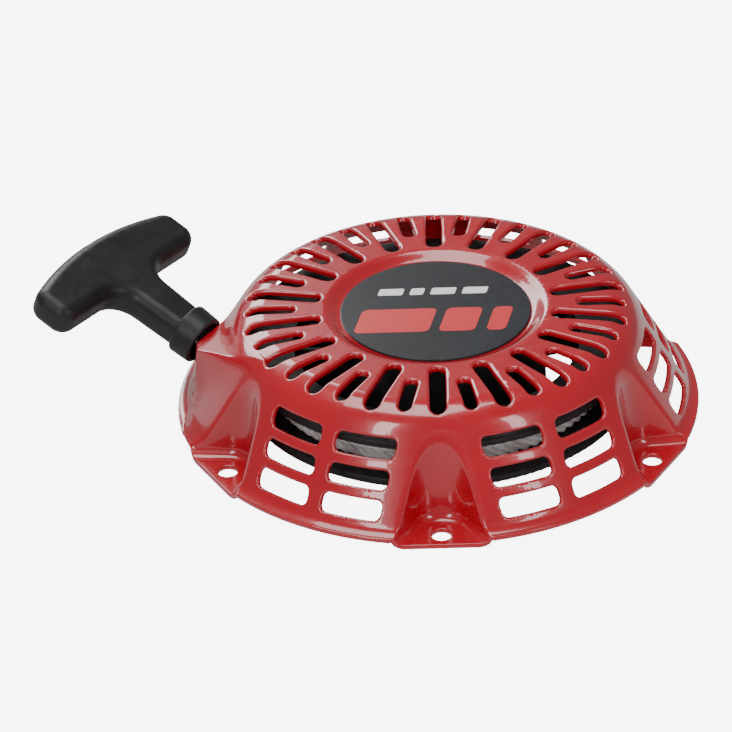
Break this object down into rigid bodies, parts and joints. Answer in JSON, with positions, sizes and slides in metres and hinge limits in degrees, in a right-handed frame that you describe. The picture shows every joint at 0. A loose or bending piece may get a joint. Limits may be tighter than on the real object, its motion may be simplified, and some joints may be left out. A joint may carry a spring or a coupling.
{
  "type": "recoil starter",
  "caption": "Pull-cord recoil starter for a small engine: slotted drawn steel case with bolt tabs, rope reel, spiral spring, ratchet pawls and T grip.",
  "frame": {"origin": "centre of the circle of bolt holes, on the mounting plane under the tabs", "axes": "+Z out of the engine through the closed face, -Y through one bolt tab, the pull grip on the -X side"},
  "size_m": [0.2404, 0.1874, 0.0518],
  "materials": {
    "case_paint": "gloss red paint on drawn sheet steel",
    "badge": "satin printed disc",
    "guide_plastic": "moulded nylon",
    "post_steel": "turned steel",
    "screw_steel": "zinc plated",
    "reel_plastic": "moulded glass-filled nylon",
    "spring_steel": "oiled spring steel",
    "pawl_steel": "sintered steel",
    "plate_steel": "zinc plated pressing",
    "grip_plastic": "textured moulded plastic",
    "rope": "laid nylon cord"
  },
  "bodies": {
    "case": {"starter_case": "case_paint", "case_badge": "badge", "rope_guide": "guide_plastic", "center_post": "post_steel", "center_screw": "screw_steel", "screw_washer": "screw_steel"},
    "reel": {"rope_reel": "reel_plastic", "recoil_spring": "spring_steel", "wound_rope": "rope", "reel_knot": "rope", "pawl_spring_a": "spring_steel", "pawl_spring_b": "spring_steel"},
    "plate": {"ratchet_plate": "plate_steel", "friction_spring": "spring_steel"},
    "pawl_one": {"pawl_a": "pawl_steel"},
    "pawl_two": {"pawl_b": "pawl_steel"},
    "grip": {"starter_grip": "grip_plastic", "grip_ferrule": "plate_steel", "grip_knot": "rope", "rope_lead": "rope"}
  },
  "joints": [
    {"name": "reel_turn", "type": "hinge", "parent": "case", "child": "reel", "pos_m": [0, 0, 0.02], "axis": [0, 0, -1], "range_deg": [0, 810], "deforming": ["recoil_spring"]},
    {"name": "grip_pull", "type": "slide", "parent": "case", "child": "grip", "axis": [-0.7581, 0.5341, 0.3742], "range_m": [0, 0.88], "deforming": ["rope_lead"]},
    {"name": "plate_turn", "type": "hinge", "parent": "reel", "child": "plate", "pos_m": [0, 0, 0.005], "axis": [0, 0, 1], "range_deg": [0, 24]},
    {"name": "pawl_one_swing", "type": "hinge", "parent": "reel", "child": "pawl_one", "pos_m": [0.02, 0, 0.007], "axis": [0, 0, 1], "range_deg": [0, 32], "deforming": ["pawl_spring_a"]},
    {"name": "pawl_two_swing", "type": "hinge", "parent": "reel", "child": "pawl_two", "pos_m": [-0.02, 0, 0.007], "axis": [0, 0, 1], "range_deg": [0, 32], "deforming": ["pawl_spring_b"]}
  ],
  "couplings": [
    {"joint": "grip_pull", "follows": "reel_turn", "m_per_rad": 0.0618},
    {"joint": "pawl_one_swing", "follows": "plate_turn", "ratio": 1.25},
    {"joint": "pawl_two_swing", "follows": "plate_turn", "ratio": 1.25}
  ]
}
